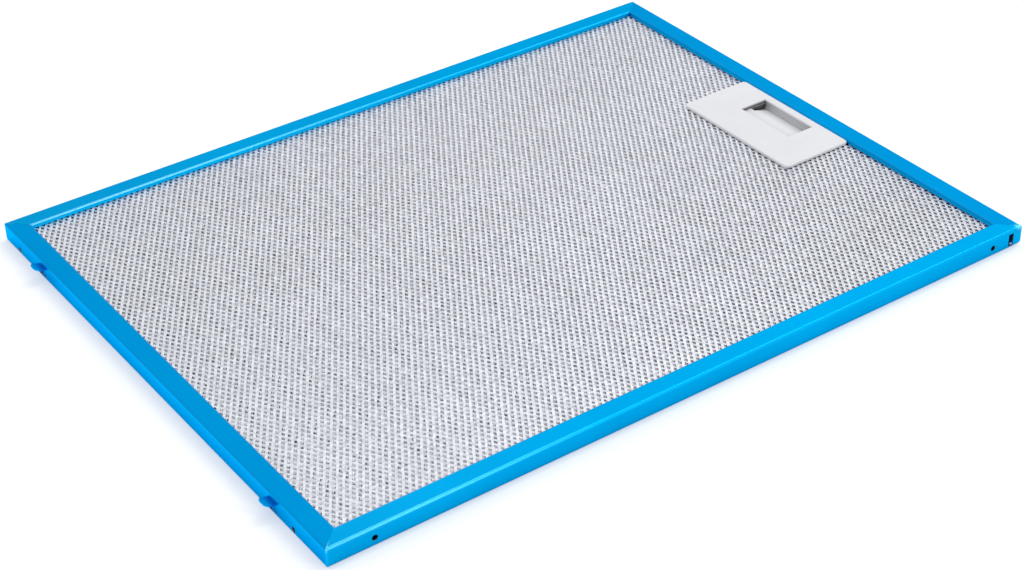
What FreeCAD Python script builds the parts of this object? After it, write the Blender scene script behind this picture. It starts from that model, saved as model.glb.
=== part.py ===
import FreeCAD
import Part
import math
import os

# Cooker hood grease filter: a folded aluminium frame round a pack of expanded mesh,
# with a sprung finger latch let into one short side. Millimetres, lying on its back, +Z up.

# Frame: one strip with a C section
frame_length = 320.0
frame_width = 248.0
frame_height = 8.0
strip = 0.6
bend_radius = 1.1
lip_radius = 0.9
flange_width = 8.4
lip_height = 1.9
mitre_slit = 0.16

# Punched features of the frame's walls
wall_hole_diameter = 2.4
side_hole_insets = (18.6, 16.1)
side_hole_height = 3.7
end_hole_insets = (21.1, 13.8)
end_hole_height = 2.2
lug_width = 5.6
lug_reach = 4.0
lug_root_height = 5.5
lug_rise = 1.2
lug_tip_radius = 1.8
lug_spacing = 178.0
closing_slot_width = 2.6
closing_slot_bottom = 1.1
closing_tab_length = 4.9
closing_tab_bottom = 0.6
closing_tab_top = 6.5
closing_tab_corner = 2.4

# Mesh pack between the lips
pack_clearance = 0.3
cover_thickness = 0.9
inner_layers = 3
layer_gap = 0.04
mesh_short_way = 2.7
mesh_long_way = 4.3
ridge_height = 0.42
inner_ridge_factor = 4.0
gap_columns = 10
gap_rows = 8
gap_run = 8.0
gap_width_share = 0.3

# Handle: front plate, back plate and latch
plate_depth = 34.3
plate_length = 66.6
plate_thickness = 1.2
plate_corner = 2.0
plate_edge = 0.35
window_depth = 13.0
window_length = 29.6
window_margin = 4.0
post_depth = 2.0
post_length = 4.0
post_spacing_long = 52.0
post_spacing_short = 24.0
barb = 0.5
rail_thickness = 1.0
latch_travel = 4.5
latch_gap = 0.2
latch_wall = 1.2
deck_thickness = 1.0
pocket_depth = 8.1
pocket_floor_drop = 3.9
pocket_radius = 1.2
tongue_width = 22.0
tongue_thickness = 2.0
tongue_reach = 4.0
tongue_ramp = 2.6
spring_thickness = 0.3
spring_height = 2.4
spring_half_span = 10.0
spring_foot = 0.5
nose_length = 5.7
nose_width = 4.0

# Positions that follow from the sizes above
half_length = frame_length / 2
half_width = frame_width / 2
pack_bottom = lip_height
pack_top = frame_height - lip_height
inner_edge = half_length - flange_width
plate_front = inner_edge - 0.1
plate_rear = plate_front - plate_depth
plate_top = pack_top + plate_thickness
plate_back = pack_bottom - plate_thickness
window_front = plate_front - window_margin
window_rear = window_front - window_depth
slide_half = window_length / 2 + 0.4
slide_top = pack_top - 0.1
slide_bottom = pack_bottom + latch_gap
slide_front = window_front + latch_wall
pocket_rear = window_front - pocket_depth
pocket_floor = plate_top - pocket_floor_drop
nose_tip = pocket_rear - latch_wall - nose_length
deck_rear = window_rear - latch_travel + 1.2
rail_inner = slide_half + latch_gap
rail_outer = rail_inner + rail_thickness
housing_rear = deck_rear - latch_travel - 0.7
housing_front = slide_front + 0.1 + rail_thickness
tongue_tip = half_length + tongue_reach
slot_half = tongue_width / 2 + 0.4
strand_angle = math.atan2(mesh_long_way, mesh_short_way)
strand_pitch = mesh_short_way * math.sin(strand_angle)


def vec(x, y, z):
    return FreeCAD.Vector(x, y, z)


def block(x0, x1, y0, y1, z0, z1):
    return Part.makeBox(x1 - x0, y1 - y0, z1 - z0, vec(x0, y0, z0))


def prism(points, along):
    """Solid swept along a vector from a closed polygon of points."""
    return Part.Face(Part.makePolygon(points + [points[0]])).extrude(along)


def upright_edges(shape):
    found = []
    for edge in shape.Edges:
        a = edge.Vertexes[0].Point
        b = edge.Vertexes[-1].Point
        if abs(a.x - b.x) < 1e-6 and abs(a.y - b.y) < 1e-6:
            found.append(edge)
    return found


def flat_edges_at(shape, height):
    found = []
    for edge in shape.Edges:
        box = edge.BoundBox
        if abs(box.ZMin - height) < 1e-6 and abs(box.ZMax - height) < 1e-6:
            found.append(edge)
    return found


def one_solid(shape):
    clean = shape.removeSplitter()
    if len(clean.Solids) != 1:
        raise ValueError("expected one solid, got %d" % len(clean.Solids))
    return clean.Solids[0]


def rounded_loop(corners):
    """Closed wire in the YZ plane from (y, z, radius) corners; a radius of 0 stays sharp."""
    edges = []
    ends = []
    count = len(corners)
    for i in range(count):
        y, z, radius = corners[i]
        here = vec(0, y, z)
        before = vec(0, corners[i - 1][0], corners[i - 1][1]) - here
        after = vec(0, corners[(i + 1) % count][0], corners[(i + 1) % count][1]) - here
        before.normalize()
        after.normalize()
        if radius == 0:
            ends.append((here, here))
            continue
        start = here + before * radius
        finish = here + after * radius
        middle = here + (before + after) * (radius * (1 - math.sqrt(0.5)))
        edges.append(Part.Arc(start, middle, finish).toShape())
        ends.append((start, finish))
    for i in range(count):
        a = ends[i - 1][1]
        b = ends[i][0]
        edges.append(Part.makeLine(a, b))
    return Part.Wire(Part.__sortEdges__(edges))


def strip_section():
    """C section with inturned lips; y runs inwards from the outer face of the wall."""
    f = flange_width
    h = frame_height
    t = strip
    return rounded_loop(
        [
            (f, h - lip_height, 0),
            (f, h, lip_radius),
            (0, h, bend_radius),
            (0, 0, bend_radius),
            (f, 0, lip_radius),
            (f, lip_height, 0),
            (f - t, lip_height, 0),
            (f - t, t, lip_radius - t),
            (t, t, bend_radius - t),
            (t, h - t, bend_radius - t),
            (f - t, h - t, lip_radius - t),
            (f - t, h - lip_height, 0),
        ]
    )


def frame_side(length, depth, turn):
    """One folded side with mitred ends, turned about Z into its place."""
    side = Part.Face(strip_section()).extrude(vec(length, 0, 0))
    side.translate(vec(-length / 2, -depth / 2, 0))
    far = flange_width + 2
    mitre = prism(
        [
            vec(-length / 2, -depth / 2, -1),
            vec(length / 2, -depth / 2, -1),
            vec(length / 2 - far, -depth / 2 + far, -1),
            vec(-length / 2 + far, -depth / 2 + far, -1),
        ],
        vec(0, 0, frame_height + 2),
    )
    side = side.common(mitre)
    side.rotate(vec(0, 0, 0), vec(0, 0, 1), turn)
    return side


def mitre_slits():
    """Hairline between the flanges of neighbouring sides; the wall stays whole."""
    cuts = []
    far = flange_width + 2
    length = (far - bend_radius) * math.sqrt(2)
    for sx in (-1, 1):
        for sy in (-1, 1):
            for z0, z1 in ((-1, lip_height + 0.5), (pack_top - 0.5, frame_height + 1)):
                slit = block(0, length, -mitre_slit / 2, mitre_slit / 2, z0, z1)
                slit.rotate(vec(0, 0, 0), vec(0, 0, 1), math.degrees(math.atan2(sy, sx)))
                slit.translate(vec(sx * (half_length - far), sy * (half_width - far), 0))
                cuts.append(slit)
    return cuts


def wall_holes():
    """Small round holes: two in the -Y wall, two in the -X wall."""
    cuts = []
    radius = wall_hole_diameter / 2
    for sx, inset in zip((-1, 1), side_hole_insets):
        at = vec(sx * (half_length - inset), -half_width - 1, side_hole_height)
        cuts.append(Part.makeCylinder(radius, strip + 2, at, vec(0, 1, 0)))
    for sy, inset in zip((-1, 1), end_hole_insets):
        at = vec(-half_length - 1, sy * (half_width - inset), end_hole_height)
        cuts.append(Part.makeCylinder(radius, strip + 2, at, vec(1, 0, 0)))
    return cuts


def closing_corner():
    """Cuts at +X, -Y, where the end of the strip comes round the corner as a rounded tab."""
    x_tab = half_length - closing_tab_length
    wall = -half_width
    deep = wall + strip + 0.5
    slot = block(x_tab - closing_slot_width, x_tab, wall - 1, deep, closing_slot_bottom, closing_tab_top)
    slit = block(x_tab - 0.1, half_length - 0.2, wall - 1, deep, closing_tab_top - 0.01, closing_tab_top + 0.2)
    # the lower flanges stop short of the corner, and the tab's foot is rounded
    foot = block(x_tab, half_length + 1, wall - 1, wall + flange_width, -1, closing_tab_bottom)
    square = block(
        half_length - closing_tab_corner,
        half_length + 1,
        wall - 1,
        wall + flange_width - 0.1,
        -1,
        closing_tab_bottom + closing_tab_corner,
    )
    round_at = vec(half_length - closing_tab_corner, wall - 2, closing_tab_bottom + closing_tab_corner)
    rounding = Part.makeCylinder(closing_tab_corner, flange_width + 4, round_at, vec(0, 1, 0))
    return [slot, slit, foot, square.cut(rounding)]


def lug(y_mid):
    """Tongue lanced out of the -X wall, rising a little towards its rounded tip."""
    y0 = y_mid - lug_width / 2
    x_tip = -half_length - lug_reach
    x_root = -half_length + strip
    outline = block(x_tip, x_root, y0, y0 + lug_width, 0, frame_height)
    tips = [edge for edge in upright_edges(outline) if edge.Vertexes[0].Point.x < -half_length]
    outline = outline.makeFillet(lug_tip_radius, tips)
    z = lug_root_height
    slope = prism(
        [
            vec(x_tip - 1, y0 - 1, z + lug_rise * (1 + 1 / lug_reach)),
            vec(-half_length, y0 - 1, z),
            vec(x_root, y0 - 1, z),
            vec(x_root, y0 - 1, z - strip),
            vec(-half_length, y0 - 1, z - strip),
            vec(x_tip - 1, y0 - 1, z - strip + lug_rise * (1 + 1 / lug_reach)),
        ],
        vec(0, lug_width + 2, 0),
    )
    return outline.common(slope)


def lug_window(y_mid):
    half = lug_width / 2 + 0.3
    return block(
        -half_length - 1,
        -half_length + strip + 1,
        y_mid - half,
        y_mid + half,
        lug_root_height - strip - lug_reach,
        lug_root_height - strip,
    )


def frame():
    body = frame_side(frame_length, frame_width, 0)
    body = body.fuse(
        [
            frame_side(frame_width, frame_length, 90),
            frame_side(frame_length, frame_width, 180),
            frame_side(frame_width, frame_length, 270),
        ]
    )
    folds = block(-half_length, half_length, -half_width, half_width, -1, frame_height + 1)
    body = body.common(folds.makeFillet(bend_radius, upright_edges(folds)))
    tongue_slot = block(
        half_length - strip - 1,
        half_length + 1,
        -slot_half,
        slot_half,
        slide_bottom - 0.4,
        slide_bottom + tongue_thickness + 0.4,
    )
    lug_places = (-lug_spacing / 2, lug_spacing / 2)
    cuts = mitre_slits() + wall_holes() + closing_corner() + [tongue_slot]
    cuts += [lug_window(y) for y in lug_places]
    body = body.cut(cuts)
    return one_solid(body.fuse([lug(y) for y in lug_places]))


def pack_layer(thickness):
    """Rectangle of one mesh layer, from z = 0."""
    x = half_length - strip - pack_clearance
    y = half_width - strip - pack_clearance
    return block(-x, x, -y, y, 0, thickness)


def handle_cuts(thickness):
    """Notch for the latch and slots for the plate's posts."""
    clear = rail_outer + 0.3
    rear = housing_rear - rail_thickness - 0.3
    cuts = [block(rear, half_length, -clear, clear, -1, thickness + 1)]
    dx = post_depth / 2 + barb
    dy = post_length / 2 + 0.3
    for px, py in post_places():
        cuts.append(block(px - dx, px + dx, py - dy, py + dy, -1, thickness + 1))
    return cuts


def post_places():
    x_mid = (plate_front + plate_rear) / 2
    places = []
    for sx in (-1, 1):
        for sy in (-1, 1):
            places.append((x_mid + sx * post_spacing_short / 2, sy * post_spacing_long / 2))
    return places


def groove_comb(pitch, turn, thickness, depth):
    """Grooves between slanting strands: each strand falls gently on one side, steeply on the other."""
    span = (frame_length * math.sin(strand_angle) + frame_width * math.cos(strand_angle)) / 2
    count = int(math.ceil(span / pitch)) + 1
    low = thickness - depth
    high = thickness + 1.0
    points = [vec(-count * pitch, 0, high)]
    for k in range(-count, count):
        points.append(vec(k * pitch, 0, thickness))
        points.append(vec((k + 0.45) * pitch, 0, low))
        points.append(vec((k + 0.8) * pitch, 0, low))
    points.append(vec(count * pitch, 0, thickness))
    points.append(vec(count * pitch, 0, high))
    length = frame_length + frame_width
    comb = prism(points, vec(0, length, 0))
    comb.translate(vec(0, -length / 2, 0))
    comb.rotate(vec(0, 0, 0), vec(0, 0, 1), turn)
    return comb


def open_cells(x, y, thickness):
    """Run of open cells in the groove nearest to x, y; its ends follow the crossing strands."""
    c = math.cos(strand_angle)
    s = math.sin(strand_angle)
    across = x * s - y * c
    along = x * c + y * s
    across = (round(across / strand_pitch - 0.625) + 0.625) * strand_pitch
    half = gap_run * math.hypot(mesh_short_way, mesh_long_way) / 4
    slant = gap_width_share * strand_pitch / 2 / math.sin(2 * strand_angle)
    corners = []
    for a, b in ((-1, -1), (1, -1), (1, 1), (-1, 1)):
        px = across * s + along * c + a * half * c - b * slant * c
        py = -across * c + along * s + a * half * s + b * slant * s
        corners.append(vec(px, py, -1))
    return prism(corners, vec(0, 0, thickness + 2))


def mesh_gaps(thickness):
    """Staggered runs of open cells over the open field, clear of the handle."""
    x_room = 2 * inner_edge / gap_columns
    y_room = 2 * (half_width - flange_width) / gap_rows
    gaps = []
    for row in range(gap_rows):
        for column in range(gap_columns):
            stagger = 0.22 if row % 2 else -0.22
            x = -inner_edge + x_room * (column + 0.5 + stagger)
            y = -half_width + flange_width + y_room * (row + 0.5)
            if x < plate_rear - 8 or abs(y) > plate_length / 2 + 12:
                gaps.append(open_cells(x, y, thickness))
    return gaps


def cover_mesh():
    turn = math.degrees(strand_angle) - 90
    sheet = pack_layer(cover_thickness).cut(groove_comb(strand_pitch, turn, cover_thickness, ridge_height))
    return one_solid(sheet.cut(mesh_gaps(cover_thickness) + handle_cuts(cover_thickness)))


def inner_mesh(thickness, side):
    turn = side * (math.degrees(strand_angle) - 90)
    comb = groove_comb(strand_pitch * inner_ridge_factor, turn, thickness, ridge_height)
    return one_solid(pack_layer(thickness).cut(comb).cut(handle_cuts(thickness)))


def mesh_pack():
    """Back cover, inner layers and front cover, from the bottom up."""
    room = pack_top - pack_bottom - 2 * cover_thickness - (inner_layers + 1) * layer_gap
    inner_thickness = room / inner_layers
    layers = {}
    back = cover_mesh()
    front = back.copy()
    back.rotate(vec(0, 0, cover_thickness / 2), vec(1, 0, 0), 180)
    back.translate(vec(0, 0, pack_bottom))
    layers["back_mesh"] = back
    z = pack_bottom + cover_thickness + layer_gap
    for k in range(inner_layers):
        layer = inner_mesh(inner_thickness, -1 if k % 2 == 0 else 1)
        layer.translate(vec(0, 0, z))
        layers["inner_mesh_%d" % (k + 1)] = layer
        z += inner_thickness + layer_gap
    front.translate(vec(0, 0, pack_top - cover_thickness))
    layers["front_mesh"] = front
    return layers


def handle_plate():
    """Front plate with the finger window; four barbed posts snap through the back plate."""
    half = plate_length / 2
    plate = block(plate_rear, plate_front, -half, half, pack_top, plate_top)
    plate = plate.makeFillet(plate_corner, upright_edges(plate))
    reach = window_length / 2
    plate = plate.cut(block(window_rear, window_front, -reach, reach, pack_top - 1, plate_top + 1))
    plate = plate.makeChamfer(plate_edge, flat_edges_at(plate, plate_top))
    x_mid = (plate_front + plate_rear) / 2
    dx = post_depth / 2
    dy = post_length / 2
    for px, py in post_places():
        out = 1 if px > x_mid else -1
        end = plate_back - 0.6
        post = block(px - dx, px + dx, py - dy, py + dy, end, pack_top + 0.3)
        hook = prism(
            [
                vec(px + out * (dx - 0.3), py - dy, plate_back),
                vec(px + out * (dx + barb), py - dy, plate_back),
                vec(px + out * (dx - 0.3), py - dy, end),
            ],
            vec(0, post_length, 0),
        )
        plate = plate.fuse([post, hook])
    return one_solid(plate)


def handle_back_plate():
    """Plate behind the pack, with rails and stops for the slide."""
    half = plate_length / 2
    plate = block(plate_rear, plate_front, -half, half, plate_back, pack_bottom)
    plate = plate.makeFillet(plate_corner, upright_edges(plate))
    plate = plate.makeChamfer(plate_edge, flat_edges_at(plate, plate_back))
    top = pack_top - 0.05
    rear = housing_rear - rail_thickness
    housing = block(rear, housing_front, -rail_outer, rail_outer, pack_bottom, top)
    inside = housing_front - rail_thickness
    hollow = block(housing_rear, inside, -rail_inner, rail_inner, pack_bottom, top + 1)
    doorway = block(inside - 1, housing_front + 1, -slot_half, slot_half, pack_bottom, top + 1)
    plate = plate.fuse(housing.cut([hollow, doorway]))
    dx = post_depth / 2 + 0.1
    dy = post_length / 2 + 0.1
    slots = [block(x - dx, x + dx, y - dy, y + dy, -1, pack_bottom + 1) for x, y in post_places()]
    return one_solid(plate.cut(slots))


def latch_slider():
    """Slide with a finger pocket, a deck under the plate and a ramped tongue."""
    body = block(deck_rear, slide_front, -slide_half, slide_half, slide_bottom, slide_top)
    under = slide_top - deck_thickness
    inside = slide_half - latch_wall
    hollow = block(deck_rear - 1, pocket_rear - latch_wall, -inside, inside, slide_bottom - 1, under)
    reach = window_length / 2 - 0.3
    pocket = block(pocket_rear, window_front, -reach, reach, pocket_floor, slide_top + 3)
    rims = []
    for edge in flat_edges_at(pocket, pocket_floor):
        if edge.BoundBox.YLength > 1:
            rims.append(edge)
    pocket = pocket.makeFillet(pocket_radius, rims)
    body = body.cut([hollow, pocket])
    lip = []
    for edge in flat_edges_at(body, slide_top):
        box = edge.BoundBox
        if abs(box.XMin - pocket_rear) < 0.01 and abs(box.XMax - pocket_rear) < 0.01:
            lip.append(edge)
    body = body.makeFillet(0.5, lip)
    nose = block(
        nose_tip, pocket_rear - latch_wall, -nose_width / 2, nose_width / 2, slide_bottom, under
    )
    z1 = slide_bottom + tongue_thickness
    half = tongue_width / 2
    tongue = prism(
        [
            vec(slide_front - 0.5, -half, slide_bottom),
            vec(tongue_tip - tongue_ramp, -half, slide_bottom),
            vec(tongue_tip, -half, z1 - 0.6),
            vec(tongue_tip, -half, z1),
            vec(slide_front - 0.5, -half, z1),
        ],
        vec(0, tongue_width, 0),
    )
    return one_solid(body.fuse([nose, tongue]))


def latch_spring():
    """Bowed leaf with rolled feet: the feet stand on the back wall, the bow bears on the slide's nose."""
    x_foot = housing_rear + spring_foot
    x_bow = nose_tip - spring_thickness / 2
    sag = x_bow - x_foot
    radius = (spring_half_span ** 2 + sag ** 2) / (2 * sag)
    centre = x_bow - radius
    z0 = slide_bottom + 0.1
    angle = math.asin(spring_half_span / radius)
    arcs = []
    for r in (radius - spring_thickness / 2, radius + spring_thickness / 2):
        low = vec(centre + r * math.cos(angle), -r * math.sin(angle), z0)
        high = vec(centre + r * math.cos(angle), r * math.sin(angle), z0)
        arcs.append((low, vec(centre + r, 0, z0), high))
    edges = [
        Part.Arc(*arcs[0]).toShape(),
        Part.makeLine(arcs[0][2], arcs[1][2]),
        Part.Arc(*arcs[1]).toShape(),
        Part.makeLine(arcs[1][0], arcs[0][0]),
    ]
    leaf = Part.Face(Part.Wire(Part.__sortEdges__(edges))).extrude(vec(0, 0, spring_height))
    feet = []
    for side in (-1, 1):
        at = vec(x_foot, side * spring_half_span, z0)
        feet.append(Part.makeCylinder(spring_foot, spring_height, at))
    return one_solid(leaf.fuse(feet))


os.makedirs("parts", exist_ok=True)
pieces = {"frame": frame()}
pieces.update(mesh_pack())
pieces["handle_plate"] = handle_plate()
pieces["handle_back_plate"] = handle_back_plate()
pieces["latch_slider"] = latch_slider()
pieces["latch_spring"] = latch_spring()
for name, shape in pieces.items():
    if not shape.isValid():
        raise ValueError(name + " is not valid")
    shape.exportStep("parts/" + name + ".step")
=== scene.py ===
import bpy
import math
import numpy as np
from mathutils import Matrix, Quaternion, Vector


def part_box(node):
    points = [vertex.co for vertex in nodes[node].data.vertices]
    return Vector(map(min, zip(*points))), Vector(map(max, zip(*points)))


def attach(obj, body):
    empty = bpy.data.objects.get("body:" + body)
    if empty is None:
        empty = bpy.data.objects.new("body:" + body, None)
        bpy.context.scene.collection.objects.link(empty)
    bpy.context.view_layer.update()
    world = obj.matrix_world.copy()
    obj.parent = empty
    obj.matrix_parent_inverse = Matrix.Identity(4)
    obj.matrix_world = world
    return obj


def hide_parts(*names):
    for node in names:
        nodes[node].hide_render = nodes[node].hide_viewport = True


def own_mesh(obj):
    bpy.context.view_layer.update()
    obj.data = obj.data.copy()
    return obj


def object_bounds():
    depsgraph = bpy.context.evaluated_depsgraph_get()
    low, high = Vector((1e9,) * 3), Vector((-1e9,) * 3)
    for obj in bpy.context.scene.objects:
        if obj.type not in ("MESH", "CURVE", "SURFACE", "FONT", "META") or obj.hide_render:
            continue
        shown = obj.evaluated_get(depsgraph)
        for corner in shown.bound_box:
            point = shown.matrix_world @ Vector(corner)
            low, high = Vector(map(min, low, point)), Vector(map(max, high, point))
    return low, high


# Looks of the cooker hood grease filter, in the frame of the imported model. Lengths are in
# millimetres, unless a comment says metres, and reach Blender, which works in metres, times MM.
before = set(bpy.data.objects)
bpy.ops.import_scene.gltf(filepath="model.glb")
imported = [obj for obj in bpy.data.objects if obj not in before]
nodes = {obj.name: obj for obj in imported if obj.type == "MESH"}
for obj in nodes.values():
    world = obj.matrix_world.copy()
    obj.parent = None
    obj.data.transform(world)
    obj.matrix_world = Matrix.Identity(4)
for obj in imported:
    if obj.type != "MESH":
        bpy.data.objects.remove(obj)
cad_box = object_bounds()
frame_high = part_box("frame")[1]
handle_low, handle_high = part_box("handle_plate")
frame_middle = (cad_box[0].z + cad_box[1].z) / 2

MM = 0.001
MESH_SEED = 7

# Camera, fitted to the frame's edges in the photograph; its place is in metres
CAMERA_PLACE = (-0.409309, -0.596203, 0.467854)
CAMERA_TURN = (0.8397103, 0.449651, -0.1331301, -0.2738194)
CAMERA_LENS = 75.956
CAMERA_SENSOR = 36.0

# Folded frame
HALF_LENGTH = frame_high.x / MM
HALF_WIDTH = frame_high.y / MM
HALF_HEIGHT = frame_high.z / MM / 2
WALL = 0.6

# Field of mesh that shows between the lips, how far the inner layers go on into the frame's
# channel, and the place of the handle, which laps over the edge of the mesh
FIELD_INSET = 7.8
FIELD_X = HALF_LENGTH - FIELD_INSET
FIELD_Y = HALF_WIDTH - FIELD_INSET
TUCK = 6.3
HANDLE_LAP = 1.0
HANDLE_REAR = handle_low.x / MM + HANDLE_LAP
HANDLE_HALF = handle_high.y / MM - HANDLE_LAP

# What is punched in the walls: round holes, the slot of the closing corner, the lugs' windows.
# A cut face lies between the wall's two skins and looks along the wall
HOLE_REACH = 1.3
HOLE_LONG, HOLES_LONG = 3.7, (-141.4, 143.9)
HOLE_SHORT, HOLES_SHORT = 2.2, (-102.9, 110.2)
CLOSING_SLOT, CLOSING_LOW, CLOSING_HIGH = 152.4, 0.5, 6.8
LUGS, LUG_HALF, LUG_ROOT = (-89.0, 89.0), 3.3, 5.2
CUT_SKIN, CUT_FACING = 0.01, 0.5

# Colours of the film; on the long sides the blue is painted a little greener, to stand in for
# how their brighter light looks
FILM_DARK, FILM_LIGHT = (0.0, 0.312, 0.72), (0.0, 0.345, 0.775)
FILM_LONG_LIGHT_TINT = (1.0, 1.0, 0.90, 1)
# pale colour of the painted highlights
FILM_PAINTED_HIGHLIGHT = (0.16, 0.70, 0.88, 1)

# Clear gloss across the strip, by the distance from the frame's outside in centimetres
FLAT_GLOSS = 0.02
BENT_GLOSS = 0.36
LIP_GLOSS = 1.0
BEND_GLOSS = [
    (0.0, FLAT_GLOSS), (0.008, BENT_GLOSS), (0.09, BENT_GLOSS), (0.12, FLAT_GLOSS),
    (0.74, FLAT_GLOSS), (0.765, LIP_GLOSS), (0.825, LIP_GLOSS), (0.838, FLAT_GLOSS),
]
CENTIMETRES = 100.0

# Where it wears off along the two long sides, and what is left of it there and on the short sides
NEAR_GLOSS_ENDS = (-130.0, -50.0)
FAR_GLOSS_ENDS = (-140.0, 50.0)
RUBBED_GLOSS = 0.06

# Heights between which an upright corner goes over into the upper bend, and what is left of
# gloss and of the painted highlights below them
TOP_BEND = (6.0, 7.4)
CORNER_SHARE = 0.05

# Painted highlights: a pale line along the outer end of each mitre, and a pale point on the closing corner
MITRE_LINE = (0.08, 0.42)
MITRE_END = (1.4, 3.8)
MITRE_PAINTED_HIGHLIGHT = 0.7
CLOSING_POINT = (158.5, -122.8, 8.0)
POINT_REACH = (0.6, 2.2)
POINT_PAINTED_HIGHLIGHT = 0.8

# How far the lips lean, as run over rise, and where they are: heights off the frame's middle,
# and the distance from its outside
LONG_LEAN = 0.35
SHORT_LEAN = 0.60
LIP_EDGE, LIP_ROOT = 1.9, 3.1
LIP_FACE = (8.25, 8.32)

# Tone of the mesh: a broad change and a share of a change from cell to cell are added, and their
# sum runs from the darker to the lighter colour
BROAD_TONE = (0.44, 0.56)
CELL_SHARE = 0.75
TONE_ENDS = (0.55, 1.0)

# Painted light and shade: the tone is scaled towards two corners of the field, over this range of
# distances
NEAR_CORNER = (-152.0, -116.0, 6.0)
CLOSING_CORNER = (152.0, -116.0, 6.0)
PAINTED_TONE_REACH = (30.0, 165.0)

# Where the finger pocket is, and how its painted shade ends. Its front wall has less of it and its end
# wall is painted darker still; a wall is where the normal's part along X or Y goes from slanted to upright
POCKET_MIDDLE, POCKET_REACH, POCKET_HALF = 141.0, 7.0, 15.5
POCKET_RIM = 1.5
SLANTED, UPRIGHT = 0.5, 0.9
FRONT_WALL_SHARE = 0.5
END_WALL_SHADE = 0.38

# Painted shade by how open a place is to the sky
POCKET_SHADE_REACH = 9.0
POCKET_SHADE_RAMP = [
    (0.15, (0.02, 0.02, 0.024)), (0.32, (0.22, 0.22, 0.225)), (0.55, (0.60, 0.60, 0.605)),
    (0.75, (0.78, 0.78, 0.785)), (0.90, (0.86, 0.86, 0.865)), (0.985, (1.0, 1.0, 1.0)),
]

# How much a bond of the mesh strays: place along and across the rows, height, tilt, size
COVER_STRAY = (0.04, 0.06, 0.015, 0.25, 0.07)
FOIL_STRAY = (0.12, 0.16, 0.04, 0.2, 0.05)

# Floor: its glow for the camera, and its glow in mirrors, which carries a painted shadow where
# less of the sky is open and painted light on the side of the lugs
FLOOR_HALF, FLOOR_DROP = 6000.0, 0.05
FLOOR_PAPER = (0.80, 0.81, 0.83, 1)
FLOOR_SEEN = 0.37
FLOOR_REACH, FLOOR_OPEN, FLOOR_MIRRORED = 30.0, (0.45, 0.80), (0.17, 0.58)
LUG_SIDE, LUG_SIDE_PAINTED_LIGHT = (-170.0, -156.0), 1.45

# World: its level as light from -Y and from +Y, and in mirrors on the side of the key and
# elsewhere; that side is given by the parts of a direction along X and Y at which it changes
LIGHT_NEAR, LIGHT_FAR = 0.48, 0.94
MIRRORED_KEY, MIRRORED_REST = 1.3, 0.84
KEY_START_X, KEY_FALL_X, KEY_FALL_Y = (-0.05, 0.30), (0.46, 0.70), (0.3, 0.9)
KEY_FALL = 0.95


def scaled(lengths):
    """Lengths in metres from millimetres."""
    return tuple(length * MM for length in lengths)


class Graph:
    """Node tree of a material or of the world, with short ways to add its nodes.

    A value may be another node's socket, a plain number or a colour.
    """

    def __init__(self, tree):
        self.tree = tree

    def node(self, kind, **settings):
        made = self.tree.nodes.new(kind)
        for key, setting in settings.items():
            setattr(made, key, setting)
        return made

    def feed(self, socket, value):
        if isinstance(value, bpy.types.NodeSocket):
            self.tree.links.new(value, socket)
        else:
            socket.default_value = value

    def fill(self, made, values):
        for key, value in values.items():
            self.feed(made.inputs[key], value)
        return made

    def place(self):
        return self.node("ShaderNodeTexCoord").outputs["Object"]

    def split(self, vector):
        return self.fill(self.node("ShaderNodeSeparateXYZ"), {0: vector}).outputs

    def math(self, operation, *values):
        made = self.node("ShaderNodeMath", operation=operation)
        return self.fill(made, dict(enumerate(values))).outputs[0]

    def distance(self, place, point):
        made = self.node("ShaderNodeVectorMath", operation="DISTANCE")
        return self.fill(made, {0: place, 1: point}).outputs["Value"]

    def scale(self, colour, factor):
        made = self.node("ShaderNodeVectorMath", operation="SCALE")
        return self.fill(made, {0: colour, "Scale": factor}).outputs[0]

    def mix(self, factor, a, b):
        """Number between a and b."""
        made = self.node("ShaderNodeMix", data_type="FLOAT")
        return self.fill(made, {0: factor, 2: a, 3: b}).outputs[0]

    def blend(self, factor, a, b, way="MIX"):
        """Colour a, and as much of colour b as the factor says."""
        made = self.node("ShaderNodeMix", data_type="RGBA", blend_type=way)
        return self.fill(made, {0: factor, 6: a, 7: b}).outputs[2]

    def fade(self, value, start, end, at_start, at_end):
        """Runs from at_start to at_end while the value runs from start to end."""
        made = self.node("ShaderNodeMapRange")
        ends = {"From Min": start, "From Max": end, "To Min": at_start, "To Max": at_end}
        return self.fill(made, {"Value": value, **ends}).outputs["Result"]

    def ramp(self, value, stops):
        """Colour ramp from a value; stops are (position, grey or colour)."""
        made = self.node("ShaderNodeValToRGB")
        band = made.color_ramp
        while len(band.elements) < len(stops):
            band.elements.new(0.5)
        for element, (position, colour) in zip(band.elements, stops):
            element.position = position
            grey = isinstance(colour, float)
            element.color = (colour, colour, colour, 1) if grey else (*colour, 1)
        return self.fill(made, {"Fac": value}).outputs["Color"]

    def noise(self, place, scale, detail=3.0, roughness=0.55):
        made = self.node("ShaderNodeTexNoise")
        values = {"Vector": place, "Scale": scale, "Detail": detail, "Roughness": roughness}
        return self.fill(made, values).outputs["Fac"]

    def between(self, grain, low, high):
        """From low to high over the span in which most of a noise lies."""
        return self.ramp(grain, [(0.3, low), (0.7, high)])

    def bump(self, height, strength, distance, below=None):
        made = self.node("ShaderNodeBump")
        values = {"Height": height, "Strength": strength, "Distance": distance}
        if below is not None:
            values["Normal"] = below
        return self.fill(made, values).outputs["Normal"]

    def open_sky(self, reach, samples):
        made = self.node("ShaderNodeAmbientOcclusion", samples=samples)
        return self.fill(made, {"Distance": reach}).outputs["AO"]


def new_material(name, constants):
    """Material with its node graph and its Principled shader, whose constants are set."""
    material = bpy.data.materials.new(name)
    material.use_nodes = True
    graph = Graph(material.node_tree)
    principled = material.node_tree.nodes["Principled BSDF"]
    graph.fill(principled, constants)
    return material, graph, principled


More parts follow.
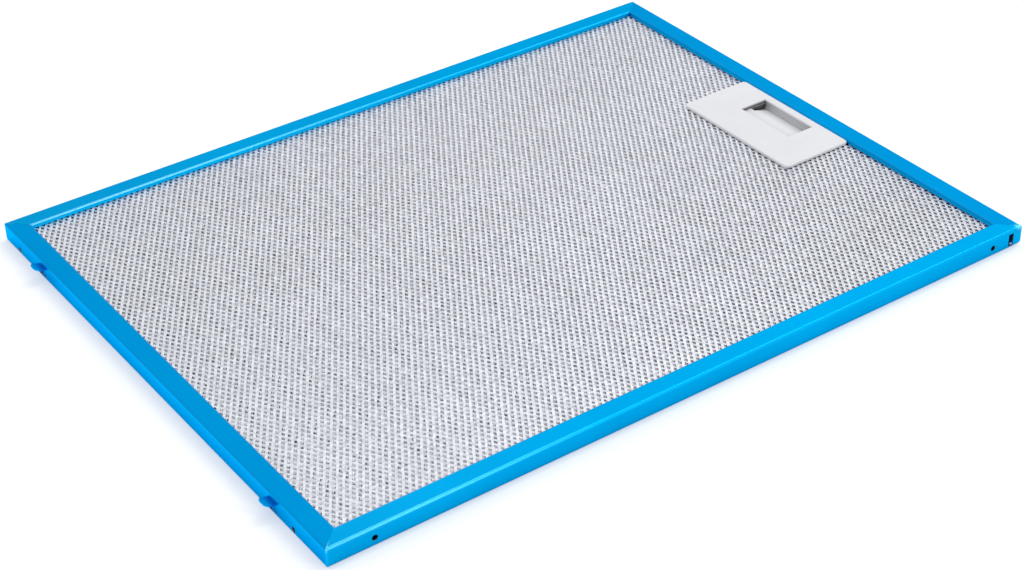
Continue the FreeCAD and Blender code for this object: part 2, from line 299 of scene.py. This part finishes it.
def along_strip(graph, where):
    """Direction of the strip at a point, along Y on the short sides and along X on the long ones,
    whether it is a long side, the distances from the frame's outside and from a mitre, the place."""
    place = graph.split(where)
    room_x = graph.math("SUBTRACT", HALF_LENGTH * MM, graph.math("ABSOLUTE", place["X"]))
    room_y = graph.math("SUBTRACT", HALF_WIDTH * MM, graph.math("ABSOLUTE", place["Y"]))
    on_short = graph.math("LESS_THAN", room_x, room_y)
    on_long = graph.math("SUBTRACT", 1.0, on_short)
    along = graph.fill(graph.node("ShaderNodeCombineXYZ"), {"X": on_long, "Y": on_short})
    inward = graph.math("MINIMUM", room_x, room_y)
    off_mitre = graph.math("ABSOLUTE", graph.math("SUBTRACT", room_x, room_y))
    return along.outputs[0], on_long, inward, off_mitre, place


def film_gloss(graph, on_long, inward, on_top, place):
    """Weight of the clear gloss. The drawn metal of the bends is glossier than the flat of the strip,
    and keeps it best on the long sides, away from the handle."""
    by_bend = graph.ramp(graph.math("MULTIPLY", inward, CENTIMETRES), BEND_GLOSS)
    near_side = graph.fade(place["X"], *scaled(NEAR_GLOSS_ENDS), 1.0, RUBBED_GLOSS)
    far_side = graph.fade(place["X"], *scaled(FAR_GLOSS_ENDS), 1.0, RUBBED_GLOSS)
    is_far = graph.math("GREATER_THAN", place["Y"], 0.0)
    kept = graph.mix(on_long, RUBBED_GLOSS, graph.mix(is_far, near_side, far_side))
    return graph.math("MULTIPLY", graph.math("MULTIPLY", by_bend, kept), on_top)


def film_colour(graph, where, on_long, inward, off_mitre, on_top):
    """Blue, painted greener on the long sides for their brighter light, and with painted highlights: a
    pale line along the outer end of each mitre and a pale point on the closing corner.
    """
    blue = graph.between(graph.noise(where, scale=22.0, detail=2.0), FILM_DARK, FILM_LIGHT)
    # painted tint: the long sides' blue is made greener for their brighter light
    blue = graph.blend(on_long, blue, FILM_LONG_LIGHT_TINT, "MULTIPLY")
    by_mitre = graph.fade(off_mitre, *scaled(MITRE_LINE), 1.0, 0.0)
    by_end = graph.fade(inward, *scaled(MITRE_END), MITRE_PAINTED_HIGHLIGHT, 0.0)
    on_mitre = graph.math("MULTIPLY", graph.math("MULTIPLY", by_mitre, by_end), on_top)
    from_point = graph.distance(where, scaled(CLOSING_POINT))
    on_point = graph.fade(from_point, *scaled(POINT_REACH), POINT_PAINTED_HIGHLIGHT, 0.0)
    # painted highlights on the mitres and on the closing corner
    return graph.blend(graph.math("MAXIMUM", on_mitre, on_point), blue, FILM_PAINTED_HIGHLIGHT)


def film_relief(graph, where, grain, on_long, inward, height):
    """Orange peel and rolling grain, and the lips' slight lean out of the opening."""
    peel = graph.bump(graph.noise(where, scale=700.0, detail=2.0), strength=0.10, distance=0.2 * MM)
    grained = graph.bump(grain, strength=0.06, distance=0.1 * MM, below=peel)
    off_middle = graph.math("ABSOLUTE", graph.math("SUBTRACT", height, HALF_HEIGHT * MM))
    lift = graph.fade(off_middle, *scaled((LIP_EDGE, LIP_ROOT, LIP_ROOT - LIP_EDGE)), 0.0)
    lean = graph.fade(on_long, 0.0, 1.0, SHORT_LEAN, LONG_LEAN)
    on_lip = graph.fade(inward, *scaled(LIP_FACE), 0.0, 1.0)
    leaning = graph.math("MULTIPLY", graph.math("MULTIPLY", lift, lean), on_lip)
    # the lean is already a height in metres
    return graph.bump(leaning, strength=1.0, distance=1.0, below=grained)


def blue_film():
    """Blue lacquered strip: coloured metal with faint rolling marks and a thin clear gloss."""
    constants = {
        "Metallic": 1.0,
        "Coat Roughness": 0.12,
        "Coat IOR": 1.8,
        "Specular Tint": (0.0, 0.8, 1.0, 1),
        "Anisotropic": 0.75,
        "Anisotropic Rotation": 0.25,
    }
    material, graph, principled = new_material("blue_film", constants)
    where = graph.place()
    along, on_long, inward, off_mitre, place = along_strip(graph, where)
    on_top = graph.fade(place["Z"], *scaled(TOP_BEND), CORNER_SHARE, 1.0)
    grain = graph.noise(where, scale=2600.0, detail=4.0, roughness=0.6)
    graph.fill(principled, {
        "Base Color": film_colour(graph, where, on_long, inward, off_mitre, on_top),
        "Roughness": graph.between(grain, 0.28, 0.38),
        "Coat Weight": film_gloss(graph, on_long, inward, on_top, place),
        "Normal": film_relief(graph, where, grain, on_long, inward, place["Z"]),
        "Tangent": along,
    })
    return material


def bare_edge():
    """Cut edges of the strip, where the metal shows."""
    material, graph, principled = new_material("bare_edge", {"Metallic": 1.0})
    grain = graph.noise(graph.place(), scale=3000.0)
    graph.fill(principled, {
        "Base Color": graph.between(grain, (0.55, 0.60, 0.66), (0.78, 0.82, 0.86)),
        "Roughness": graph.between(grain, 0.3, 0.5),
        "Normal": graph.bump(grain, strength=0.2, distance=0.1 * MM),
    })
    return material


def expanded_metal(name, low, high, near_painted_gain, closing_painted_gain):
    """Bare aluminium of the mesh: bright strands whose tone changes a little from cell to cell, and
    painted light and shade, a tone scale towards the near corner and one towards the closing corner."""
    material, graph, principled = new_material(name, {"Metallic": 1.0})
    where = graph.place()
    broad = graph.fade(graph.noise(where, scale=30.0, detail=2.0), 0.0, 1.0, *BROAD_TONE)
    cells = graph.noise(where, scale=620.0, detail=2.0, roughness=0.5)
    fine = graph.noise(where, scale=4200.0, roughness=0.6)
    both = graph.math("MULTIPLY_ADD", cells, CELL_SHARE, broad)
    tone = graph.ramp(both, list(zip(TONE_ENDS, (low, high))))
    painted_gains = []
    # painted light and shade: the tone is scaled towards the near corner and the closing corner
    for corner, gain in ((NEAR_CORNER, near_painted_gain), (CLOSING_CORNER, closing_painted_gain)):
        painted_gains.append(graph.fade(graph.distance(where, scaled(corner)), *scaled(PAINTED_TONE_REACH), gain, 1.0))
    dents = graph.bump(cells, strength=0.25, distance=0.3 * MM)
    graph.fill(principled, {
        "Base Color": graph.scale(tone, graph.math("MULTIPLY", *painted_gains)),
        "Roughness": graph.between(cells, 0.38, 0.54),
        "Normal": graph.bump(fine, strength=0.12, distance=0.1 * MM, below=dents),
    })
    return material


def in_pocket(graph, where):
    """1 inside the finger pocket, 0 outside it."""
    place = graph.split(where)
    near = []
    for axis, middle, reach in (("X", POCKET_MIDDLE, POCKET_REACH), ("Y", 0.0, POCKET_HALF)):
        off = graph.math("ABSOLUTE", graph.math("SUBTRACT", place[axis], middle * MM))
        near.append(graph.fade(off, *scaled((reach, reach + POCKET_RIM)), 1.0, 0.0))
    return graph.math("MULTIPLY", *near)


def satin_plastic():
    """Light grey moulding with a fine spark-eroded grain, and painted shade in the finger pocket: less
    of it on the front wall, more on the end wall."""
    material, graph, principled = new_material("satin_plastic", {"IOR": 1.46})
    where = graph.place()
    grain = graph.noise(where, scale=5200.0, roughness=0.6)
    grey = graph.between(
        graph.noise(where, scale=60.0, detail=2.0), (0.84, 0.845, 0.885), (0.88, 0.885, 0.92)
    )
    facing = graph.split(graph.node("ShaderNodeNewGeometry").outputs["Normal"])
    sideways = graph.math("ABSOLUTE", facing["X"])
    front_wall = graph.fade(sideways, SLANTED, UPRIGHT, 1.0, FRONT_WALL_SHARE)
    end_wall_shade = graph.fade(facing["Y"], -UPRIGHT, -SLANTED, END_WALL_SHADE, 1.0)
    # painted shade in the pocket: darker where less of the sky is open, darkest on the end wall
    painted_pocket_shade = graph.ramp(graph.open_sky(POCKET_SHADE_REACH * MM, samples=12), POCKET_SHADE_RAMP)
    shade_amount = graph.math("MULTIPLY", in_pocket(graph, where), front_wall)
    graph.fill(principled, {
        "Base Color": graph.blend(shade_amount, grey, graph.scale(painted_pocket_shade, end_wall_shade), "MULTIPLY"),
        "Roughness": graph.between(grain, 0.42, 0.58),
        "Normal": graph.bump(grain, strength=0.12, distance=0.1 * MM),
    })
    return material


def spring_steel():
    """Rolled spring strip with fine lines along it."""
    material, graph, principled = new_material("spring_steel", {"Metallic": 1.0})
    stretch = graph.node("ShaderNodeMapping")
    graph.fill(stretch, {"Vector": graph.place(), "Scale": (200.0, 200.0, 6000.0)})
    lines = graph.noise(stretch.outputs["Vector"], scale=1.0)
    graph.fill(principled, {
        "Base Color": graph.between(lines, (0.42, 0.42, 0.44), (0.6, 0.6, 0.62)),
        "Roughness": graph.between(lines, 0.25, 0.42),
        "Normal": graph.bump(lines, strength=0.15, distance=0.1 * MM),
    })
    return material


def new_object(name, points, faces, material):
    """Mesh object from points in metres."""
    data = bpy.data.meshes.new(name)
    data.from_pydata(points, [], faces)
    data.update()
    data.materials.append(material)
    made = bpy.data.objects.new(name, data)
    bpy.context.scene.collection.objects.link(made)
    return made


def direction(line, k):
    """Unit vector along a line of (x, y) points at its point k."""
    before = line[max(k - 1, 0)]
    after = line[min(k + 1, len(line) - 1)]
    return Vector((after[0] - before[0], after[1] - before[1])).normalized()


def sweep_faces(stations, ring):
    """Faces of a closed bar whose points are rings of corners, one ring after the other."""
    faces = []
    for k in range(stations - 1):
        for m in range(ring):
            a = k * ring + m
            b = k * ring + (m + 1) % ring
            faces.append((a, b, b + ring, a + ring))
    last = (stations - 1) * ring
    faces.append(tuple(reversed(range(ring))))
    faces.append(tuple(range(last, last + ring)))
    return faces


def grid_rim(rows, columns):
    """Points round the outside of a grid, whose points are numbered row by row."""
    rim = list(range(columns))
    rim += [i * columns + columns - 1 for i in range(1, rows)]
    rim += [(rows - 1) * columns + j for j in range(columns - 2, -1, -1)]
    rim += [i * columns for i in range(rows - 2, 0, -1)]
    return rim


def under_handle(x, y):
    return x > HANDLE_REAR and abs(y) < HANDLE_HALF


def expanded_sheet(
    name, node, material, short_way, long_way, share, gauge, rise, stray, seed, turned=False, tucked=0.0
):
    """Expanded metal in the place of a mesh node.

    Bonds stand in a diamond lattice. Each is a tilted rhomb, low on one side and high on the
    other, as the press leaves it, and strands join it to its four neighbours. Share is the part
    of a cell that a strand takes, rise how far a bond's edge stands off its middle, tucked how
    far the sheet goes on into the frame's channel. The flat faces look outwards and the strands
    narrow to an edge inside, so the sheet is one closed skin.
    """
    low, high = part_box(node)
    outward = 1 if (low.z + high.z) / 2 > frame_middle else -1
    clearance = 0.02
    face = (high.z if outward > 0 else low.z) / MM - outward * (abs(rise) + clearance)
    draw = np.random.default_rng(seed)
    half_cell = short_way / 2
    step = long_way / 2
    wide = share * half_cell
    tall = share * step
    room_u, room_v = (FIELD_Y, FIELD_X) if turned else (FIELD_X, FIELD_Y)
    columns = int((room_u + tucked) / half_cell)
    rows = int((room_v + tucked) / step)
    points = []
    faces = []
    bonds = {}
    for i in range(-columns, columns + 1):
        for j in range(-rows, rows + 1):
            off = draw.normal(0.0, 1.0, len(stray)) * stray
            if (i + j) % 2:
                continue
            u = i * half_cell + off[0]
            v = j * step + off[1]
            if under_handle(*((v, u) if turned else (u, v))):
                continue
            w = face + off[2]
            lift = rise * (1 + off[3])
            half_u = wide * (1 + off[4])
            half_v = tall * (1 + off[4])
            bonds[i, j] = len(points)
            corners = (
                (-half_u, 0, -lift), (0, -half_v, 0), (half_u, 0, lift), (0, half_v, 0),
                (0, 0, -outward * gauge),
            )
            for du, dv, dw in corners:
                x, y = (v + dv, u + du) if turned else (u + du, v + dv)
                points.append(scaled((x, y, w + dw)))
    flip = (outward < 0) != turned

    def add(*corners):
        faces.append(tuple(reversed(corners)) if flip else corners)

    # corners of a bond: 0 left, 1 near, 2 right, 3 far, 4 the edge inside
    for (i, j), a in bonds.items():
        add(a, a + 1, a + 2, a + 3)
        b = bonds.get((i + 1, j + 1))
        if b is None:
            add(a + 3, a + 2, a + 4)
        else:
            add(a + 2, b + 1, b, a + 3)
            add(b + 1, a + 2, a + 4, b + 4)
            add(a + 3, b, b + 4, a + 4)
        b = bonds.get((i - 1, j + 1))
        if b is None:
            add(a, a + 3, a + 4)
        else:
            add(a + 3, b + 2, b + 1, a)
            add(b + 2, a + 3, a + 4, b + 4)
            add(a, b + 1, b + 4, a + 4)
        if (i - 1, j - 1) not in bonds:
            add(a + 1, a, a + 4)
        if (i + 1, j - 1) not in bonds:
            add(a + 2, a + 1, a + 4)
    made = new_object(name, points, faces, material)
    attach(made, "filter")
    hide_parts(node)


def leaf_spring(material):
    """Bowed leaf behind the slide, with feet rolled round where they stand on the back wall."""
    low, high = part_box("latch_spring")
    gauge, foot, half_span, edge = scaled((0.3, 0.5, 10.0, 0.05))
    bow_steps = 30
    foot_steps, foot_step, foot_start = 14, math.radians(20), 1.2
    start = low.x + foot
    bow = high.x - gauge / 2
    sag = bow - start
    radius = (half_span ** 2 + sag ** 2) / (2 * sag)
    centre = bow - radius
    reach = math.asin(half_span / radius)
    path = []
    for k in range(-bow_steps, bow_steps + 1):
        angle = reach * k / bow_steps
        path.append((centre + radius * math.cos(angle), radius * math.sin(angle)))
    # the feet roll back on themselves for most of a turn
    end_x, end_y = path[-1]
    roll = foot - gauge / 2
    curl = []
    for k in range(1, foot_steps + 1):
        turn = foot_start + foot_step * k
        x = end_x + roll * (math.cos(turn) - math.cos(foot_start))
        y = end_y + roll * (math.sin(turn) - math.sin(foot_start))
        curl.append((x, y))
    line = [(x, -y) for x, y in reversed(curl)] + path + curl
    # the strip's section has broken edges: share of half the gauge, height
    flat = 0.6
    section = (
        (1, low.z + edge), (1, high.z - edge), (flat, high.z), (-flat, high.z),
        (-1, high.z - edge), (-1, low.z + edge), (-flat, low.z), (flat, low.z),
    )
    points = []
    for k, (x, y) in enumerate(line):
        along = direction(line, k)
        for side, z in section:
            points.append((x + along.y * side * gauge / 2, y - along.x * side * gauge / 2, z))
    faces = [tuple(reversed(face)) for face in sweep_faces(len(line), len(section))]
    made = new_object("spring_leaf", points, faces, material)
    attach(made, "filter")
    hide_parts("latch_spring")
    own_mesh(made)


def closing_tongue(material):
    """The strip's other end, folded to an angle inside the closing corner."""
    gauge = 0.45
    floor_at, inside = 0.95, -122.9
    radius, arc_steps = 0.7, 8
    flange_from, flange_to = -116.4, -119.0
    upright_from, upright_to = 4.0, 6.0
    foot_start, upright_start, upright_end = 147.6, 155.4, 159.2
    foot_points = 6
    line = [(flange_from, floor_at), (flange_to, floor_at)]
    for k in range(arc_steps + 1):
        turn = math.radians(90 * k / arc_steps)
        y = inside + radius - radius * math.sin(turn)
        z = floor_at + radius - radius * math.cos(turn)
        line.append((y, z))
    line += [(inside, upright_from), (inside, upright_to)]
    points = []
    faces = []

    def leaf(path, x_from, x_to):
        start = len(points)
        count = len(path)
        for x in (x_from, x_to):
            for side in (0, gauge):
                for k, (y, z) in enumerate(path):
                    along = direction(path, k)
                    points.append(scaled((x, y + along.y * side, z - along.x * side)))
        a, b, c, d = (start + k * count for k in range(4))
        for k in range(count - 1):
            faces.append((c + k, c + k + 1, a + k + 1, a + k))
            faces.append((d + k + 1, d + k, b + k, b + k + 1))
            faces.append((b + k + 1, b + k, a + k, a + k + 1))
            faces.append((d + k, d + k + 1, c + k + 1, c + k))
        faces.append((b, d, c, a))
        last = count - 1
        faces.append((d + last, b + last, a + last, c + last))

    leaf(line, upright_start, upright_end)
    leaf(line[:foot_points], foot_start, upright_start)
    made = new_object("closing_tongue", points, faces, material)
    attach(made, "filter")


def lug_leaves(material):
    """A leaf of the strip behind each lug's window, slightly dished."""
    half_width, low, high = 4.2, 0.75, 5.6
    outside, gauge, dish = -159.3, 0.25, 0.08
    across, up = 13, 9
    for name, middle in zip(("near", "far"), LUGS):
        points = []
        faces = []
        for side in (0, 1):
            for i in range(across):
                for j in range(up):
                    u = 2 * i / (across - 1) - 1
                    v = 2 * j / (up - 1) - 1
                    x = outside + side * gauge + dish * (1 - u * u) * (1 - v * v)
                    z = low + (high - low) * (v + 1) / 2
                    points.append(scaled((x, middle + half_width * u, z)))
        sheet = across * up
        for i in range(across - 1):
            for j in range(up - 1):
                a = i * up + j
                faces.append((a, a + 1, a + up + 1, a + up))
                faces.append((sheet + a, sheet + a + up, sheet + a + up + 1, sheet + a + 1))
        rim = grid_rim(across, up)
        for a, b in zip(rim, rim[1:] + rim[:1]):
            faces.append((b, a, sheet + a, sheet + b))
        made = new_object("lug_leaf_" + name, points, faces, material)
        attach(made, "filter")


def mitre_laps(material):
    """Overlap under each mitre: a ribbon just under the flanges, which closes the cut."""
    half_width, depth = 0.35, 0.5
    inner, outer, top = 8.2, 1.15, 7.96
    flat_steps, bend_steps = 8, 6
    bend_height, bend_radius, bend_turn = 6.9, 1.06, 44
    # distance from the frame's outside, and height
    stations = []
    for k in range(flat_steps + 1):
        stations.append((inner + (outer - inner) * k / flat_steps, top))
    # over the outer bend, down to where the upright corner is rounded
    for k in range(1, bend_steps + 1):
        turn = math.radians(bend_turn * k / bend_steps)
        stations.append((outer - bend_radius * math.sin(turn), bend_height + bend_radius * math.cos(turn)))
    offset = half_width * math.sqrt(0.5)
    section = ((-offset, 0), (offset, 0), (offset, depth), (-offset, depth))
    for name, sx, sy in (("near", -1, -1), ("left", -1, 1), ("far", 1, 1), ("closing", 1, -1)):
        points = []
        for inward, z in stations:
            x = sx * (HALF_LENGTH - inward)
            y = sy * (HALF_WIDTH - inward)
            for across, drop in section:
                points.append(scaled((x + sy * across, y - sx * across, z - drop)))
        faces = sweep_faces(len(stations), len(section))
        made = new_object("mitre_lap_" + name, points, faces, material)
        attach(made, "filter")


def smooth_step(t):
    return t * t * (3 - 2 * t)


def finger_scoop(material):
    """Hollowed ramp in the slide's pocket, from the deck down to a valley before the front wall."""
    rear, front, side = 138.9, 147.5, 14.45
    deck, valley, foot = 5.99, 3.75, 3.0
    deepest, wall_rise, curved_share = 0.93, 0.6, 0.55
    near_rounding = 3.2
    pit_start, pit_run, pit_floor = 12.0, 1.4, 3.2
    across, along = 46, 110
    points = []
    faces = []
    for i in range(across):
        s = i / (across - 1)
        if s < deepest:
            t = s / deepest
            drop = smooth_step(t) * curved_share + t * (1 - curved_share)
        else:
            t = (s - deepest) / (1 - deepest)
            drop = 1 - wall_rise / (deck - valley) * (1 - math.sqrt(max(0.0, 1 - t * t)))
        for j in range(along):
            y = -side + 2 * side * j / (along - 1)
            # rounded up at the near end, and broken off before the far one
            near = min(1.0, (y + side) / near_rounding)
            z = deck - (deck - valley) * drop * math.sqrt(max(0.0, 1 - (1 - near) ** 2))
            far = min(1.0, max(0.0, (y - pit_start) / pit_run))
            z += (pit_floor - z) * smooth_step(far)
            points.append(scaled((rear + (front - rear) * s, y, z)))
    for i in range(across - 1):
        for j in range(along - 1):
            a = i * along + j
            faces.append((a, a + along, a + along + 1, a + 1))
    top_faces = len(faces)
    rim = grid_rim(across, along)
    base = len(points)
    for k in rim:
        x, y, z = points[k]
        points.append((x, y, foot * MM))
    count = len(rim)
    for k in range(count):
        m = (k + 1) % count
        faces.append((rim[k], rim[m], base + m, base + k))
    faces.append(tuple(range(base, base + count)))
    made = new_object("latch_scoop", points, faces, material)
    for polygon in made.data.polygons:
        polygon.use_smooth = polygon.index < top_faces
    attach(made, "latch")


def cut_faces(node):
    """Gives the faces that the punch left in the walls the node's second slot."""
    for polygon in nodes[node].data.polygons:
        x, y, z = (c / MM for c in polygon.center)
        if abs(polygon.normal.y) < CUT_FACING and CUT_SKIN < y + HALF_WIDTH < WALL - CUT_SKIN:
            hole = any(math.hypot(x - at, z - HOLE_LONG) < HOLE_REACH for at in HOLES_LONG)
            if hole or (x > CLOSING_SLOT and CLOSING_LOW < z < CLOSING_HIGH):
                polygon.material_index = 1
        if abs(polygon.normal.x) < CUT_FACING and CUT_SKIN < x + HALF_LENGTH < WALL - CUT_SKIN:
            hole = any(math.hypot(y - at, z - HOLE_SHORT) < HOLE_REACH for at in HOLES_SHORT)
            if hole or any(abs(y - at) < LUG_HALF and z < LUG_ROOT for at in LUGS):
                polygon.material_index = 1


def dress(node, materials, edge=0.0):
    """Gives a carried-over node its materials, and rounds its sharp edges by a width in millimetres."""
    target = nodes[node]
    target.data.materials.clear()
    for material in materials:
        target.data.materials.append(material)
    if edge:
        weld = target.modifiers.new("weld", "WELD")
        weld.merge_threshold = 0.002 * MM
        soft = target.modifiers.new("soft_edges", "BEVEL")
        soft.width = edge * MM
        soft.segments = 2
        soft.limit_method = "ANGLE"
        soft.angle_limit = math.radians(35)
        soft.harden_normals = True


def white_floor():
    """Pale paper under the part. It glows for the camera, so that it is white, and in mirrors: there
    with a painted shadow where the part stands over it, and painted light on the side of the lugs."""
    material = bpy.data.materials.new("floor_white")
    material.use_nodes = True
    material.node_tree.nodes.clear()
    graph = Graph(material.node_tree)
    path = graph.node("ShaderNodeLightPath").outputs
    # painted shadow and painted light in the floor's glow in mirrors
    painted_floor_shadow = graph.fade(graph.open_sky(FLOOR_REACH * MM, samples=8), *FLOOR_OPEN, *FLOOR_MIRRORED)
    painted_lug_light = graph.fade(graph.split(graph.place())["X"], *scaled(LUG_SIDE), LUG_SIDE_PAINTED_LIGHT, 1.0)
    mirrored = graph.math("MULTIPLY", path["Is Glossy Ray"], graph.math("MULTIPLY", painted_floor_shadow, painted_lug_light))
    level = graph.math("MULTIPLY_ADD", path["Is Camera Ray"], FLOOR_SEEN, mirrored)
    glow = graph.fill(graph.node("ShaderNodeEmission"), {"Strength": level})
    paper = graph.fill(graph.node("ShaderNodeBsdfDiffuse"), {"Color": FLOOR_PAPER})
    total = graph.fill(graph.node("ShaderNodeAddShader"), {0: paper.outputs[0], 1: glow.outputs[0]})
    graph.fill(graph.node("ShaderNodeOutputMaterial"), {"Surface": total.outputs[0]})
    corners = ((-1, -1), (1, -1), (1, 1), (-1, 1))
    points = [scaled((FLOOR_HALF * x, FLOOR_HALF * y, 0)) for x, y in corners]
    made = new_object("floor", points, [(0, 1, 2, 3)], material)
    made.location.z = -FLOOR_DROP * MM


def white_world():
    """White seen by the camera; as light, stronger from +Y than from -Y; in mirrors, the other way,
    and only on the side of the key, where it falls off again to the right."""
    world = bpy.data.worlds.new("studio")
    bpy.context.scene.world = world
    world.use_nodes = True
    graph = Graph(world.node_tree)
    path = graph.node("ShaderNodeLightPath").outputs
    towards = graph.split(graph.node("ShaderNodeTexCoord").outputs["Generated"])
    light = graph.fade(towards["Y"], -1.0, 1.0, LIGHT_NEAR, LIGHT_FAR)
    key_side = graph.fade(towards["Y"], *KEY_FALL_Y, MIRRORED_KEY, MIRRORED_REST)
    mirrored = graph.fade(towards["X"], *KEY_START_X, MIRRORED_REST, key_side)
    dimmed = graph.math("MULTIPLY", mirrored, graph.fade(towards["X"], *KEY_FALL_X, 1.0, KEY_FALL))
    unseen = graph.fade(path["Is Glossy Ray"], 0.0, 1.0, light, dimmed)
    level = graph.fade(path["Is Camera Ray"], 0.0, 1.0, unseen, 1.0)
    graph.fill(world.node_tree.nodes["Background"], {"Color": (1.0, 1.0, 1.0, 1), "Strength": level})


def area_light(name, place, aim, size, power):
    """Rectangular lamp at a place, turned towards its aim; lengths in metres."""
    data = bpy.data.lights.new(name, "AREA")
    data.shape = "RECTANGLE"
    data.size, data.size_y = size
    data.energy = power
    made = bpy.data.objects.new(name, data)
    made.location = place
    made.rotation_euler = (Vector(aim) - Vector(place)).to_track_quat("-Z", "Y").to_euler()
    bpy.context.scene.collection.objects.link(made)


def photo_camera():
    """Camera at the photograph's viewing angle."""
    data = bpy.data.cameras.new("camera")
    data.lens = CAMERA_LENS
    data.sensor_width = CAMERA_SENSOR
    made = bpy.data.objects.new("camera", data)
    made.location = CAMERA_PLACE
    made.rotation_mode = "QUATERNION"
    made.rotation_quaternion = Quaternion(CAMERA_TURN)
    bpy.context.scene.collection.objects.link(made)
    bpy.context.scene.camera = made


film = blue_film()
bare = bare_edge()
plastic = satin_plastic()
steel = spring_steel()
# The foil is painted lighter towards the near corner, and both are painted darker towards the closing
# corner
cover = expanded_metal(
    "cover_mesh", low=(0.475, 0.485, 0.53), high=(0.79, 0.805, 0.86), near_painted_gain=0.99, closing_painted_gain=0.85
)
foil = expanded_metal(
    "inner_foil", low=(0.26, 0.265, 0.295), high=(0.68, 0.69, 0.735), near_painted_gain=1.42, closing_painted_gain=0.97
)

dress("frame", [film, bare])
cut_faces("frame")
dress("handle_plate", [plastic], edge=0.25)
dress("handle_back_plate", [plastic])
dress("latch_slider", [plastic])
leaf_spring(steel)
finger_scoop(plastic)
closing_tongue(film)
mitre_laps(film)
lug_leaves(film)

expanded_sheet(
    "mesh_front", "front_mesh", cover, short_way=2.62, long_way=4.2, share=0.45, gauge=0.25, rise=-0.05,
    stray=COVER_STRAY, seed=MESH_SEED,
)
expanded_sheet(
    "mesh_back", "back_mesh", cover, short_way=2.62, long_way=4.2, share=0.45, gauge=0.25, rise=0.05,
    stray=COVER_STRAY, seed=MESH_SEED + 1,
)
expanded_sheet(
    "mesh_inner_3", "inner_mesh_3", foil, short_way=3.7, long_way=4.55, share=0.80, gauge=0.12, rise=-0.15,
    stray=FOIL_STRAY, seed=MESH_SEED + 2, tucked=TUCK,
)
expanded_sheet(
    "mesh_inner_2", "inner_mesh_2", foil, short_way=3.2, long_way=5.4, share=0.50, gauge=0.12, rise=0.15,
    stray=FOIL_STRAY, seed=MESH_SEED + 3, turned=True, tucked=TUCK,
)
expanded_sheet(
    "mesh_inner_1", "inner_mesh_1", foil, short_way=3.7, long_way=4.55, share=0.52, gauge=0.12, rise=0.15,
    stray=FOIL_STRAY, seed=MESH_SEED + 4, tucked=TUCK,
)

white_floor()
white_world()
area_light("key", place=(0.54, -1.28, 1.05), aim=(0, 0, 0), size=(0.32, 0.7), power=2.8)
area_light("overhead", place=(1.25, 0.25, 1.7), aim=(1.25, 0.15, 0), size=(1.7, 0.35), power=8.8)
photo_camera()
bpy.context.scene.view_settings.view_transform = "Standard"
